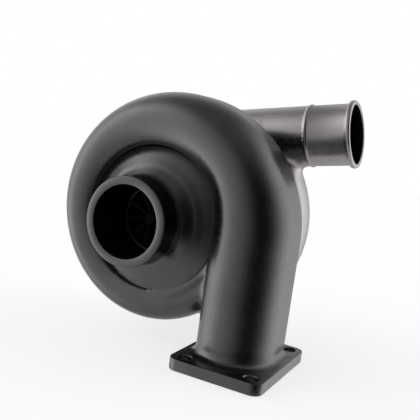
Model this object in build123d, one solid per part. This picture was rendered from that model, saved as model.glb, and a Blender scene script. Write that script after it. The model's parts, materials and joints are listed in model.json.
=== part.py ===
"""Turbocharger: an exhaust-driven supercharger, built as its separate pieces.

Frame: millimetres, +Z up. The origin is the centre of the turbine inlet flange's bottom face.
The rotor axis runs along Y. The turbine outlet faces -Y and the compressor inlet faces +Y.
"""
from build123d import *
from math import cos, exp, pi, radians, sin
import os

# ---- rotor axis -------------------------------------------------------------------------
AXIS_X = -86.7
AXIS_Z = 102.8

# ---- turbine inlet flange and leg ---------------------------------------------------------
FLANGE_X = 76.0
FLANGE_Y = 102.5
FLANGE_T = 9.0
FLANGE_CORNER_R = 8.4
FLANGE_HOLE_DX = 54.6
FLANGE_HOLE_DY = 82.7
FLANGE_HOLE_R = 5.25
FLANGE_HOLE_CHAMFER = 0.8

# ---- turbine scroll -------------------------------------------------------------------------
TURBINE_BACK_Y = 24.85
BAND_FRONT_Y = 3.85
SCROLL_IN_R = 56.7
SCROLL_ROOT_Y = -14.0
SCROLL_OUT_R = 115.2
SCROLL_OUT_FALL = 10.6          # fall of the outer radius over the first quarter turn
SCROLL_OUT_EASE = 0.75          # the fall becomes gentler with every quarter turn
SCROLL_SLIM = 3.6               # the scroll is slimmer than that half way round
SCROLL_SLIM_QUARTERS = 3.4
SCROLL_FRONT_Y = -34.0
SCROLL_FRONT_RISE = 6.6         # the front face comes back by this much each quarter turn
SCROLL_EASE = 0.12              # part of a quarter turn over which the fall begins
SCROLL_END_DEG = 322
SCROLL_STEP_DEG = 23
FOOT_FILLET = 3.0
CAST_WALL = 5.0
PASSAGE_END_DEG = 299

# ---- turbine outlet neck --------------------------------------------------------------------
MOUTH_Y = -55.6
MOUTH_R = 35.0
OUTLET_BORE_R = 28.4
NECK_R = 33.0
SHOULDER_R = 43.0
SHOULDER_Y = -21.0
DISC_R = 58.0
DISC_EDGE_Y = -12.0
CONE_START_Y = -20.6
TAP_HOLE_R = 3.3

# ---- turbine wheel --------------------------------------------------------------------------
TURBINE_TIP_R = 33.0
TURBINE_EXIT_R = 25.5
TURBINE_TIP_FRONT_Y = 2.0
TURBINE_TIP_BACK_Y = 12.0
TURBINE_EXIT_Y = -14.0
TURBINE_NOSE_Y = -19.0
TURBINE_BLADES = 11
WHEEL_GAP = 0.4

# ---- turbine joint: recess, heat shield, clamp plates -------------------------------------------
RECESS_R = 47.2
RECESS_Y = 19.2
SHIELD_POCKET_R = 38.0
SHIELD_T = 1.0
SHIELD_FRONT_Y = 13.2
BEARING_FLANGE_R = 46.9
BEARING_FLANGE_BACK_Y = 25.2
T_PLATE_IN_R = 42.5
T_PLATE_OUT_R = 63.0
PLATE_T = 3.4
PLATE_SPAN_DEG = 62
PLATE_HOLE_DEG = 22
T_BOLT_CIRCLE_R = 55.5
T_BOLT_R = 3.0

# ---- bearing housing ------------------------------------------------------------------------
NOSE_R = 12.0
NOSE_Y = 15.2
WAIST_R = 31.0
WAIST_START_Y = 31.0
REAR_FLANGE_R = 52.0
REAR_FLANGE_Y = 46.0
BEARING_END_Y = 55.0
SEAL_COLLAR_R = 8.5
SEAL_BORE_R = 8.6
BEARING_BORE_R = 8.05
BEARING_OUT_R = 8.0
BEARING_IN_R = 5.05
JOURNAL_R = 5.0
BEARING_LEN = 7.0
T_BEARING_Y = 22.0
C_BEARING_Y = 35.5
SNAP_T = 1.0
SNAP_GAP = 0.2
SNAP_GROOVE_R = 8.9
THRUST_WASHER_Y = 44.0
THRUST_POCKET_R = 20.0
THRUST_POCKET_Y = 46.5
THRUST_PLATE_T = 4.0
OIL_PAD_Y = 38.0
OIL_PAD_R = 9.5
OIL_PAD_TOP = 42.0
OIL_THREAD_R = 5.1
OIL_THREAD_LEN = 13.0
GALLERY_R = 2.0
DRAIN_PAD_X = 52.0
DRAIN_PAD_Y = 15.0
DRAIN_PAD_DROP = 41.0
DRAIN_HOLE_DX = 38.0
DRAIN_SCREW_R = 2.6
DRAIN_SCREW_LEN = 10.0
DRAIN_R = 6.0

# ---- compressor -----------------------------------------------------------------------------
BACKPLATE_R = 68.0
BACKPLATE_RIM_Y = 56.8
DIFFUSER_Y = 66.0
DIFFUSER_W = 5.5
DIFFUSER_OUT_R = 63.0
COLLAR_BACK_Y = 57.0
COLLAR_R = 82.0
C_BOLT_CIRCLE_R = 75.0
C_PLATE_IN_R = 60.0
C_PLATE_OUT_R = 81.0
C_BOLT_R = 3.0
C_BOLT_DEPTH = 6.5
SCREW_CIRCLE_R = 44.0
SCREW_R = 3.0

OUTLET_TILT_DEG = 9.17
OUTLET_OFFSET = 68.8
OUTLET_LENGTH = 143.0
TUBE_R = 26.6
TUBE_BORE_R = 25.1
TUBE_BORE_LENGTH = 60.0         # machined part of the bore, from the lip
TUBE_CAST_BORE_R = 24.4
VOLUTE_START_R = 26.45          # the volute meets the outlet tube just inside its surface
PASSAGE_START_R = 24.2          # and its passage is a little tighter than the tube's bore
TUBE_Y = 88.0
LIP_R = 29.1
LIP_W = 4.6
BEAD_BACK = 39.0
BEAD_W = 4.0
BEAD_H = 1.0
VOLUTE_TURN_DEG = 318
VOLUTE_STEP_DEG = 26.5
VOLUTE_OUT_R = 98.5
VOLUTE_HALF_R = 24.0
VOLUTE_HALF_Y = 27.0
PASSAGE_HALF = 22.0
PASSAGE_Y = 89.0
PASSAGE_HALF_END = 11.0

INLET_END_Y = 150.0
INLET_R = 38.0
INLET_BORE_R = 30.4
INLET_BORE_Y = 115.5             # the parallel bore starts past the end of the shaft
INLET_FLARE_R = 34.5
INLET_BEAD_R = 39.4
WHEEL_C_R = 38.0
WHEEL_C_TIP_W = 4.9
WHEEL_C_IN_R = 28.0
WHEEL_C_FRONT_Y = 101.0
WHEEL_C_SPLIT_Y = 90.0
WHEEL_C_BLADES = 6
STUB_R = 3.2
STUB_BORE_R = 3.25
NUT_AF = 11.0
NUT_T = 6.5
SHAFT_END_Y = 113.5

CIRCLE_K = 0.5523               # Bezier handle length that makes a quarter circle
CAST_K = 0.6                    # handle for the slightly full rounding of the castings


# ---- helpers --------------------------------------------------------------------------------
def radial_plane(deg):
    """Plane through the rotor axis: local x is the radius, local y is +Y."""
    a = radians(deg)
    return Plane(origin=(AXIS_X, 0, AXIS_Z), x_dir=(cos(a), 0, sin(a)), z_dir=(-sin(a), 0, cos(a)))


def level_plane(z):
    """Horizontal plane with the same local axes as the radial plane at 0 degrees."""
    return Plane(origin=(AXIS_X, 0, z), x_dir=(1, 0, 0), z_dir=(0, 0, 1))


def turned(*curves):
    """Solid of revolution about the rotor axis, from curves in (radius, y)."""
    edges = [edge for curve in curves for edge in curve.edges()]
    face = level_plane(AXIS_Z) * make_face(edges)
    return revolve(face, axis=Axis((AXIS_X, 0, AXIS_Z), (0, 1, 0)))


def turned_ring(r_in, r_out, y0, y1):
    """Plain ring, or a disc when r_in is 0."""
    return turned(Polyline((r_in, y0), (r_out, y0), (r_out, y1), (r_in, y1), close=True))


def on_circle(radius, deg, y, facing=1):
    """Plane at a bolt position, whose normal is +Y or -Y."""
    a = radians(deg)
    at = (AXIS_X + radius * cos(a), y, AXIS_Z + radius * sin(a))
    return Plane(origin=at, x_dir=(1, 0, 0), z_dir=(0, facing, 0))


def rod(plane, radius, length):
    """Cylinder that starts on the plane and runs along its normal."""
    return plane * extrude(Circle(radius), amount=length)


def hex_bolt(plane, radius, length, across_flats, head):
    """Bolt whose head stands on the plane, with its shank going the other way."""
    corner = across_flats / 2 / cos(pi / 6)
    prism = extrude(RegularPolygon(corner, 6), amount=head)
    dome = Pos(0, 0, head / 2) * Cylinder(corner, head)
    dome = chamfer(dome.edges().sort_by(Axis.Z)[-1], 0.12 * across_flats)
    washer_face = extrude(Circle(across_flats * 0.56), amount=0.6)
    shank = Pos(0, 0, -length) * extrude(Circle(radius), amount=length)
    shank = chamfer(shank.edges().sort_by(Axis.Z)[0], 0.2 * radius)
    return plane * ((prism & dome) + washer_face + shank)


def save(name, shape):
    """Write one named piece."""
    export_step(shape, f"parts/{name}.step")


# ---- turbine housing ------------------------------------------------------------------------
def quarter_turns(deg):
    """Quarter turns from the leg, started gently so that the scroll leaves the leg smoothly."""
    q = deg / 90
    return q - SCROLL_EASE * (1 - exp(-q / SCROLL_EASE))


def scroll_out_r(deg):
    """Outer radius of the turbine scroll."""
    q = quarter_turns(deg)
    spiral = SCROLL_OUT_R - SCROLL_OUT_FALL * q + SCROLL_OUT_EASE * q * q / 2
    if q > SCROLL_SLIM_QUARTERS:
        return spiral
    return spiral - SCROLL_SLIM * sin(pi * q / SCROLL_SLIM_QUARTERS) ** 2


def scroll_front_y(deg):
    """Front of the turbine scroll's rounded face."""
    return SCROLL_FRONT_Y + SCROLL_FRONT_RISE * quarter_turns(deg)


def d_section(plane, r_in, r_out, y_back, y_band, y_front, y_root):
    """Closed section: flat back, flat outer band and a full rounded front."""
    apex = r_in + 0.42 * (r_out - r_in)
    k = CAST_K
    back = Line((r_in, y_back), (r_out, y_back))
    band = Line((r_out, y_back), (r_out, y_band))
    outer = Bezier((r_out, y_band), (r_out, y_band + k * (y_front - y_band)),
                   (apex + k * (r_out - apex), y_front), (apex, y_front))
    inner = Bezier((apex, y_front), (apex - k * (apex - r_in), y_front),
                   (r_in, y_root + k * (y_front - y_root)), (r_in, y_root))
    wall = Line((r_in, y_root), (r_in, y_back))
    return plane * make_face([back, band, outer, inner, wall])


def scroll_section(plane, deg, wall):
    """Section of the leg or the scroll, set in from the outside by the wall thickness."""
    return d_section(plane, SCROLL_IN_R + wall, scroll_out_r(deg) - wall, TURBINE_BACK_Y - wall,
                     BAND_FRONT_Y, scroll_front_y(deg) + wall, SCROLL_ROOT_Y + wall)


def leg(z0, wall):
    """Straight leg from the flange up to the rotor axis."""
    return extrude(scroll_section(level_plane(z0), 0, wall), amount=AXIS_Z - z0)


def scroll(end_deg, wall):
    """Scroll that winds round from the top of the leg."""
    count = round(end_deg / SCROLL_STEP_DEG)
    angles = [end_deg * i / count for i in range(count + 1)]
    return loft([scroll_section(radial_plane(deg), deg, wall) for deg in angles])


def outlet_neck():
    """Mouth, neck, shoulder and disc in front of the scroll, as one solid body."""
    lip = 1.0
    front = Polyline((0, TURBINE_BACK_Y), (0, MOUTH_Y), (MOUTH_R - lip, MOUTH_Y),
                     (MOUTH_R, MOUTH_Y + lip), (MOUTH_R, MOUTH_Y + 2 * lip),
                     (NECK_R + 0.4, MOUTH_Y + 3.5 * lip), (NECK_R, -47.0), (NECK_R, -38.0))
    flare = Bezier((NECK_R, -38.0), (NECK_R, -33.0), (NECK_R + 1.5, -30.0), (37.5, -27.5),
                   (SHOULDER_R - 1.5, -26.0), (SHOULDER_R, SHOULDER_Y))
    disc = Polyline((SHOULDER_R, SHOULDER_Y), (DISC_R, DISC_EDGE_Y), (DISC_R, TURBINE_BACK_Y),
                    (0, TURBINE_BACK_Y))
    return turned(front, flare, disc)


def turbine_shroud_void():
    """Everything inside the housing that is turned about the rotor axis."""
    exit_r = TURBINE_EXIT_R + WHEEL_GAP
    tip_r = TURBINE_TIP_R + WHEEL_GAP
    mouth = Polyline((0, MOUTH_Y - 1), (OUTLET_BORE_R, MOUTH_Y - 1), (OUTLET_BORE_R, CONE_START_Y),
                     (exit_r, TURBINE_EXIT_Y - 1), (exit_r, TURBINE_EXIT_Y + 5))
    throat = Bezier((exit_r, TURBINE_EXIT_Y + 5), (exit_r, TURBINE_TIP_FRONT_Y - 4),
                    (exit_r + 3, TURBINE_TIP_FRONT_Y - WHEEL_GAP), (tip_r, TURBINE_TIP_FRONT_Y - WHEEL_GAP))
    channel = Polyline((tip_r, TURBINE_TIP_FRONT_Y - WHEEL_GAP), (SCROLL_IN_R + CAST_WALL + 1,
                       TURBINE_TIP_FRONT_Y - WHEEL_GAP),
                       (SCROLL_IN_R + CAST_WALL + 1, TURBINE_TIP_BACK_Y),
                       (SHIELD_POCKET_R, TURBINE_TIP_BACK_Y), (SHIELD_POCKET_R, RECESS_Y),
                       (RECESS_R, RECESS_Y), (RECESS_R, TURBINE_BACK_Y + 1),
                       (0, TURBINE_BACK_Y + 1), (0, MOUTH_Y - 1))
    return turned(mouth, throat, channel)


def inlet_flange():
    """Rectangular four-hole flange under the leg."""
    plate = extrude(RectangleRounded(FLANGE_X, FLANGE_Y, FLANGE_CORNER_R), amount=FLANGE_T)
    rims = plate.edges().group_by(Axis.Z)
    return chamfer(rims[0] + rims[-1], 0.5)


def flange_holes():
    """The four bolt holes, with their chamfers."""
    holes = []
    for x in (-FLANGE_HOLE_DX / 2, FLANGE_HOLE_DX / 2):
        for y in (-FLANGE_HOLE_DY / 2, FLANGE_HOLE_DY / 2):
            holes.append(Pos(x, y, FLANGE_T / 2) * Cylinder(FLANGE_HOLE_R, FLANGE_T + 2))
            wide = FLANGE_HOLE_R + FLANGE_HOLE_CHAMFER
            top = Pos(x, y, FLANGE_T - FLANGE_HOLE_CHAMFER / 2)
            holes.append(top * Cone(FLANGE_HOLE_R, wide, FLANGE_HOLE_CHAMFER))
    return holes


def clamp_bolt_angles():
    """Two bolts for each of the three clamp plates."""
    return [plate + side for plate in (30, 150, 270) for side in (-PLATE_HOLE_DEG, PLATE_HOLE_DEG)]


def foot_edges(body):
    """Edges where the leg stands on the flange, inside the flange's own outline."""
    inside_x = FLANGE_X / 2 - 3
    inside_y = FLANGE_Y / 2 - 6
    level = [e for e in body.edges() if abs(e.center().Z - FLANGE_T) < 0.01]
    return [e for e in level if abs(e.center().X) < inside_x and abs(e.center().Y) < inside_y]


def turbine_housing():
    """Cast iron scroll, leg, inlet flange and outlet neck."""
    body = leg(FLANGE_T - 1, 0) + inlet_flange()
    body = fillet(foot_edges(body), FOOT_FILLET)
    body = body + scroll(SCROLL_END_DEG, 0) + outlet_neck()
    body = body - leg(-1.0, CAST_WALL) - scroll(PASSAGE_END_DEG, CAST_WALL) - turbine_shroud_void()
    for hole in flange_holes():
        body = body - hole
    for deg in clamp_bolt_angles():
        body = body - rod(on_circle(T_BOLT_CIRCLE_R, deg, TURBINE_BACK_Y, -1), T_BOLT_R + 0.02, 10.5)
    tap = Plane(origin=(AXIS_X, -15.5, AXIS_Z), x_dir=(0, 1, 0), z_dir=(0.62, 0, -0.785))
    return body - rod(tap, TAP_HOLE_R, 33.0)


# ---- wheels ---------------------------------------------------------------------------------
def blade_section(y, r0, r1, angle_at, thick):
    """Thin curved strip across the flow at one y, with its camber given as an angle by radius."""
    ahead, behind = [], []
    for i in range(4):
        r = r0 + (r1 - r0) * i / 3
        a = radians(angle_at(r, y))
        half = thick * (1.25 - 0.5 * i / 3) / 2
        ahead.append((AXIS_X + r * cos(a) - half * sin(a), y, AXIS_Z + r * sin(a) + half * cos(a)))
        behind.append((AXIS_X + r * cos(a) + half * sin(a), y, AXIS_Z + r * sin(a) - half * cos(a)))
    sides = [Spline(*ahead), Line(ahead[-1], behind[-1]), Spline(*behind[::-1]), Line(behind[0], ahead[0])]
    return make_face(sides)


def blade(stations, r0, r1, angle_at, thick, envelope):
    """One blade, trimmed to the wheel's swept outline."""
    return loft([blade_section(y, r0, r1, angle_at, thick) for y in stations]) & envelope


def around(shape, count, start=0.0):
    """Copies of a shape, evenly spaced about the rotor axis."""
    axis = Axis((AXIS_X, 0, AXIS_Z), (0, 1, 0))
    return [shape.rotate(axis, start + 360 / count * i) for i in range(count)]


def turbine_wheel():
    """Radial turbine wheel with a boss that is welded to the shaft."""
    hub = turned(Polyline((0, 15.0), (0, TURBINE_NOSE_Y), (4.2, TURBINE_NOSE_Y), (5.5, -18.0), (6.0, -14.0)),
                 Bezier((6.0, -14.0), (7.5, 2.0), (13.0, 9.5), (31.0, 10.6)),
                 Polyline((31.0, 10.6), (31.0, 12.0), (12.0, 12.4), (8.0, 13.0), (8.0, 15.0), (0, 15.0)))
    envelope = turned(Polyline((3, TURBINE_TIP_BACK_Y), (3, TURBINE_EXIT_Y),
                               (TURBINE_EXIT_R, TURBINE_EXIT_Y), (TURBINE_EXIT_R, -9.0)),
                      Bezier((TURBINE_EXIT_R, -9.0), (TURBINE_EXIT_R, -2.0),
                             (TURBINE_EXIT_R + 3, TURBINE_TIP_FRONT_Y), (TURBINE_TIP_R, TURBINE_TIP_FRONT_Y)),
                      Polyline((TURBINE_TIP_R, TURBINE_TIP_FRONT_Y), (TURBINE_TIP_R, TURBINE_TIP_BACK_Y),
                               (3, TURBINE_TIP_BACK_Y)))

    def angle_at(r, y):
        travel = max(0.0, (TURBINE_TIP_FRONT_Y + 4 - y) / (TURBINE_TIP_FRONT_Y + 4 - TURBINE_EXIT_Y))
        return -42 * travel ** 1.7

    one = blade((13.0, 6.0, 1.0, -4.0, -9.0, -15.0), 4.0, 34.0, angle_at, 1.5, envelope)
    wheel = hub
    for copy in around(one, TURBINE_BLADES):
        wheel = wheel + copy
    return wheel


def compressor_wheel():
    """Backswept compressor wheel with full and splitter blades."""
    back = DIFFUSER_Y
    hub_curve = Bezier((8.5, WHEEL_C_FRONT_Y), (10.0, 84.0), (16.0, 70.0), (WHEEL_C_R, back + 1.4))
    hub = turned(Polyline((STUB_BORE_R, back - 0.7), (STUB_BORE_R, 104.0), (7.0, 104.0),
                          (8.5, WHEEL_C_FRONT_Y)), hub_curve,
                 Polyline((WHEEL_C_R, back + 1.4), (WHEEL_C_R, back), (12.0, back), (11.0, back - 0.7),
                          (STUB_BORE_R, back - 0.7)))

    def envelope(front):
        tip = back + WHEEL_C_TIP_W
        return turned(Polyline((5, back), (5, front), (WHEEL_C_IN_R, front), (WHEEL_C_IN_R, 88.0)),
                      Bezier((WHEEL_C_IN_R, 88.0), (WHEEL_C_IN_R, 78.0), (31.0, tip), (WHEEL_C_R, tip)),
                      Polyline((WHEEL_C_R, tip), (WHEEL_C_R, back), (5, back)))

    def angle_at(r, y):
        travel = max(0.0, (y - back) / (WHEEL_C_FRONT_Y - back))
        return 62 * travel ** 1.35 - 34 * (r / WHEEL_C_R) ** 2

    stations = (back - 1.0, 72.0, 79.0, 86.0, 94.0, 102.0)
    full = blade(stations, 6.0, 39.0, angle_at, 1.1, envelope(100.0))
    splitter = blade(stations, 6.0, 39.0, angle_at, 1.1, envelope(WHEEL_C_SPLIT_Y))
    wheel = hub
    for copy in around(full, WHEEL_C_BLADES) + around(splitter, WHEEL_C_BLADES, 180 / WHEEL_C_BLADES):
        wheel = wheel + copy
    return wheel


# ---- rotor pieces ---------------------------------------------------------------------------
def rotor_shaft():
    """Stepped shaft: seal collar, journals and the stub that carries the compressor end."""
    groove = SEAL_COLLAR_R - 1.2
    return turned(Polyline(
        (0, 15.0), (8.0, 15.0), (SEAL_COLLAR_R, 15.5), (SEAL_COLLAR_R, 17.0), (groove, 17.0), (groove, 18.6),
        (SEAL_COLLAR_R, 18.6), (SEAL_COLLAR_R, 20.0), (JOURNAL_R + 0.6, 20.4), (JOURNAL_R, 21.2),
        (JOURNAL_R, THRUST_WASHER_Y), (STUB_R, THRUST_WASHER_Y), (STUB_R, SHAFT_END_Y - 0.8),
        (STUB_R - 0.8, SHAFT_END_Y), (0, SHAFT_END_Y), close=True))


def shaft_nut():
    """Hexagonal nut that clamps the compressor wheel."""
    corner = NUT_AF / 2 / cos(pi / 6)
    plane = Plane(origin=(AXIS_X, 104.0, AXIS_Z), x_dir=(1, 0, 0), z_dir=(0, 1, 0))
    nut = extrude(RegularPolygon(corner, 6), amount=NUT_T)
    blank = Pos(0, 0, NUT_T / 2) * Cylinder(corner, NUT_T)
    blank = chamfer(blank.edges().sort_by(Axis.Z)[-1], 1.0)
    return plane * ((nut & blank) - Pos(0, 0, NUT_T / 2) * Cylinder(STUB_BORE_R, NUT_T + 1))


def thrust_washer():
    return turned_ring(STUB_BORE_R, 10.5, THRUST_WASHER_Y, THRUST_POCKET_Y)


def thrust_collar():
    """Sleeve through the thrust bearing with a running face beyond it."""
    far = THRUST_POCKET_Y + THRUST_PLATE_T + 0.2
    return turned(Polyline((STUB_BORE_R, THRUST_POCKET_Y), (6.4, THRUST_POCKET_Y), (6.4, far), (10.5, far),
                           (10.5, far + 2.2), (STUB_BORE_R, far + 2.2), close=True))


def oil_flinger():
    """Sleeve with a slinging disc and a seal ring groove."""
    start = THRUST_POCKET_Y + THRUST_PLATE_T + 2.4
    return turned(Polyline((STUB_BORE_R, start), (12.0, start), (12.0, start + 1.4),
                           (SEAL_COLLAR_R, start + 1.4), (SEAL_COLLAR_R, 58.5), (7.3, 58.5), (7.3, 60.1),
                           (SEAL_COLLAR_R, 60.1), (SEAL_COLLAR_R, DIFFUSER_Y - 0.7),
                           (STUB_BORE_R, DIFFUSER_Y - 0.7), close=True))


# ---- bearings, seals and shields ----------------------------------------------------------------
def journal_bearing(y):
    """Fully floating bush with oil holes."""
    bush = turned(Polyline((BEARING_IN_R, y + 0.4), (BEARING_IN_R + 0.4, y), (BEARING_OUT_R - 0.4, y),
                           (BEARING_OUT_R, y + 0.4), (BEARING_OUT_R, y + BEARING_LEN - 0.4),
                           (BEARING_OUT_R - 0.4, y + BEARING_LEN), (BEARING_IN_R + 0.4, y + BEARING_LEN),
                           (BEARING_IN_R, y + BEARING_LEN - 0.4), close=True))
    for deg in range(0, 360, 60):
        a = radians(deg)
        hole = Plane(origin=(AXIS_X, y + BEARING_LEN / 2, AXIS_Z), x_dir=(0, 1, 0), z_dir=(cos(a), 0, sin(a)))
        bush = bush - rod(hole, 0.9, BEARING_OUT_R + 1)
    return bush


def snap_ring_starts():
    """Each bearing is held between two snap rings."""
    starts = []
    for y in (T_BEARING_Y, C_BEARING_Y):
        starts += [y - SNAP_GAP - SNAP_T, y + BEARING_LEN + SNAP_GAP]
    return starts


def split_ring(r_in, r_out, y0, y1, gap_deg):
    """Ring with a gap at its top."""
    a = radians(90)
    gap = 2 * r_out * sin(radians(gap_deg / 2))
    cut = Pos(AXIS_X + r_out * cos(a), (y0 + y1) / 2, AXIS_Z + r_out * sin(a)) * Box(gap, 2 * (y1 - y0), r_out)
    return turned_ring(r_in, r_out, y0, y1) - cut


def snap_rings():
    rings = [split_ring(6.6, SNAP_GROOVE_R - 0.1, y + 0.05, y + SNAP_T - 0.05, 40) for y in snap_ring_starts()]
    return Compound(children=rings)


def thrust_bearing():
    """Fixed plate that the rotor's thrust faces run against."""
    y0 = THRUST_POCKET_Y + 0.1
    plate = turned_ring(6.5, THRUST_POCKET_R - 0.1, y0, y0 + THRUST_PLATE_T)
    slot = Pos(AXIS_X, y0 + THRUST_PLATE_T / 2, AXIS_Z - THRUST_POCKET_R) * Box(12, 2 * THRUST_PLATE_T, 14)
    return plate - slot


def oil_deflector():
    """Thin shield that keeps oil away from the compressor seal."""
    return turned_ring(13.0, THRUST_POCKET_R - 0.1, 52.6, 53.6)


def heat_shield():
    """Pressed cup between the turbine wheel and the bearing housing."""
    t = SHIELD_T
    side = SHIELD_POCKET_R - 0.4
    return turned(Polyline((NOSE_R + 0.4, SHIELD_FRONT_Y), (side - 3, SHIELD_FRONT_Y), (side, SHIELD_FRONT_Y + 3),
                           (side, RECESS_Y), (RECESS_R - 0.4, RECESS_Y), (RECESS_R - 0.4, RECESS_Y + t),
                           (side - t, RECESS_Y + t), (side - t, SHIELD_FRONT_Y + 3.4),
                           (side - 3.4, SHIELD_FRONT_Y + t), (NOSE_R + 0.4, SHIELD_FRONT_Y + t), close=True))


# ---- bearing housing ------------------------------------------------------------------------
def bearing_housing_body():
    """Turned outside with the oil pads."""
    outline = Polyline((0, NOSE_Y), (NOSE_R, NOSE_Y), (NOSE_R + 1.5, RECESS_Y + SHIELD_T),
                       (BEARING_FLANGE_R, RECESS_Y + SHIELD_T), (BEARING_FLANGE_R, BEARING_FLANGE_BACK_Y),
                       (38.5, BEARING_FLANGE_BACK_Y))
    waist = Bezier((38.5, BEARING_FLANGE_BACK_Y), (34.0, 27.0), (WAIST_R, 28.5), (WAIST_R, WAIST_START_Y + 2))
    rear = Polyline((WAIST_R, WAIST_START_Y + 2), (WAIST_R, 42.0), (WAIST_R + 4, REAR_FLANGE_Y),
                    (REAR_FLANGE_R, REAR_FLANGE_Y), (REAR_FLANGE_R, BEARING_END_Y),
                    (0, BEARING_END_Y), (0, NOSE_Y))
    body = turned(outline, waist, rear)
    top = Plane(origin=(AXIS_X, OIL_PAD_Y, AXIS_Z), x_dir=(1, 0, 0), z_dir=(0, 0, 1))
    body = body + rod(top, OIL_PAD_R, OIL_PAD_TOP)
    pad = Pos(AXIS_X, OIL_PAD_Y, AXIS_Z - DRAIN_PAD_DROP + 4) * Box(DRAIN_PAD_X, DRAIN_PAD_Y, 8)
    pad = fillet(pad.edges().filter_by(Axis.Z), 6)
    neck = Pos(AXIS_X, OIL_PAD_Y, AXIS_Z - 30) * Box(30, DRAIN_PAD_Y, 20)
    return body + neck + pad


def bearing_housing_voids():
    """Bores, snap ring grooves, thrust pocket, oil gallery and drain."""
    main = turned(Polyline((0, NOSE_Y - 1), (SEAL_BORE_R, NOSE_Y - 1), (SEAL_BORE_R, 20.4),
                           (BEARING_BORE_R, 20.4), (BEARING_BORE_R, 43.2), (11.5, 43.2),
                           (11.5, THRUST_POCKET_Y + 0.1), (THRUST_POCKET_R, THRUST_POCKET_Y + 0.1),
                           (THRUST_POCKET_R, BEARING_END_Y + 1), (0, BEARING_END_Y + 1), close=True))
    voids = [main]
    voids += [turned_ring(0, SNAP_GROOVE_R, y, y + SNAP_T) for y in snap_ring_starts()]
    top = Plane(origin=(AXIS_X, OIL_PAD_Y, AXIS_Z + OIL_PAD_TOP), x_dir=(1, 0, 0), z_dir=(0, 0, -1))
    voids.append(rod(top, OIL_THREAD_R, OIL_THREAD_LEN))
    voids.append(rod(top, GALLERY_R, OIL_PAD_TOP - BEARING_BORE_R + 2))
    sump = turned_ring(BEARING_BORE_R + 5, 24.0, 30.5, 42.0)
    below = Pos(AXIS_X, OIL_PAD_Y, AXIS_Z - 30) * Box(60, 60, 60)
    voids.append(sump & below)
    bottom = Plane(origin=(AXIS_X, OIL_PAD_Y, AXIS_Z - DRAIN_PAD_DROP), x_dir=(1, 0, 0), z_dir=(0, 0, 1))
    voids.append(rod(bottom, DRAIN_R, DRAIN_PAD_DROP - 12))
    for x in (-DRAIN_HOLE_DX / 2, DRAIN_HOLE_DX / 2):
        voids.append(Pos(x, 0, 0) * rod(bottom, DRAIN_SCREW_R, DRAIN_SCREW_LEN))
    return voids


def backplate_screw_angles():
    return [45, 135, 225, 315]


def bearing_housing():
    """Cast iron housing between the turbine and the compressor."""
    body = bearing_housing_body()
    for void in bearing_housing_voids():
        body = body - void
    for deg in backplate_screw_angles():
        body = body - rod(on_circle(SCREW_CIRCLE_R, deg, REAR_FLANGE_Y - 1), SCREW_R + 0.3, 12)
    ring_seat = turned_ring(34.0, 37.0, BEARING_END_Y - 1.7, BEARING_END_Y + 1)
    return body - ring_seat


# ---- compressor housing and backplate -------------------------------------------------------------
def backplate():
    """Aluminium plate that closes the compressor and carries its seal bore."""
    body = turned(Polyline((SEAL_BORE_R, BEARING_END_Y), (REAR_FLANGE_R, BEARING_END_Y),
                           (REAR_FLANGE_R + 2, BACKPLATE_RIM_Y), (BACKPLATE_R, BACKPLATE_RIM_Y),
                           (BACKPLATE_R, 60.4), (BACKPLATE_R - 1.7, 60.4), (BACKPLATE_R - 1.7, 63.0),
                           (BACKPLATE_R, 63.0), (BACKPLATE_R, DIFFUSER_Y), (WHEEL_C_R + 0.8, DIFFUSER_Y),
                           (WHEEL_C_R + 0.8, DIFFUSER_Y - 0.8), (13.0, DIFFUSER_Y - 0.8),
                           (12.0, DIFFUSER_Y - 1.4), (SEAL_BORE_R, DIFFUSER_Y - 1.4), close=True))
    for deg in backplate_screw_angles():
        body = body - rod(on_circle(SCREW_CIRCLE_R, deg, BEARING_END_Y), SCREW_R + 0.02, 8.5)
    return body


def round_section(plane, r_c, y_c, half_r, half_y, k):
    """Closed section of four curved quarters."""
    face_edges = []
    for sr, sy, flip in ((1, 1, False), (-1, 1, True), (-1, -1, False), (1, -1, True)):
        side = (r_c + sr * half_r, y_c)
        side_handle = (r_c + sr * half_r, y_c + sy * k * half_y)
        end_handle = (r_c + sr * k * half_r, y_c + sy * half_y)
        end = (r_c, y_c + sy * half_y)
        points = (side, side_handle, end_handle, end)
        face_edges.append(Bezier(*(points[::-1] if flip else points)))
    return plane * make_face(face_edges)


def volute_stations(turn_deg):
    """Angles from the outlet backwards round to the tongue, with the part of the turn done."""
    count = round(turn_deg / VOLUTE_STEP_DEG)
    start = 90 + OUTLET_TILT_DEG
    return [(start + turn_deg * i / count, i / count) for i in range(count + 1)]


def mix(a, b, t):
    return a + (b - a) * t


def volute_outer():
    """Outside of the compressor's volute."""
    sections = []
    for deg, done in volute_stations(VOLUTE_TURN_DEG):
        blend = min(1.0, done / 0.2)
        half_r = mix(VOLUTE_START_R, VOLUTE_HALF_R, blend)
        half_y = mix(VOLUTE_START_R, VOLUTE_HALF_Y, blend)
        r_out = mix(OUTLET_OFFSET + VOLUTE_START_R, VOLUTE_OUT_R, min(1.0, done / 0.45))
        y_c = mix(TUBE_Y, 61.4 + VOLUTE_HALF_Y, blend)
        k = mix(CIRCLE_K, 0.66, blend)
        sections.append(round_section(radial_plane(deg), r_out - half_r, y_c, half_r, half_y, k))
    return loft(sections)


def volute_passage():
    """Growing passage inside the volute; the tongue end is the small one."""
    sections = []
    for deg, done in volute_stations(VOLUTE_TURN_DEG - 18):
        blend = min(1.0, done / 0.12)
        half = mix(PASSAGE_HALF, PASSAGE_HALF_END, done)
        half = mix(PASSAGE_START_R, half, blend)
        r_c = mix(OUTLET_OFFSET, 68.0 + 6.0 * done, blend)
        y_c = mix(TUBE_Y, PASSAGE_Y - PASSAGE_HALF + half, blend)
        sections.append(round_section(radial_plane(deg), r_c, y_c, half, half, CIRCLE_K))
    return loft(sections)


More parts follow.
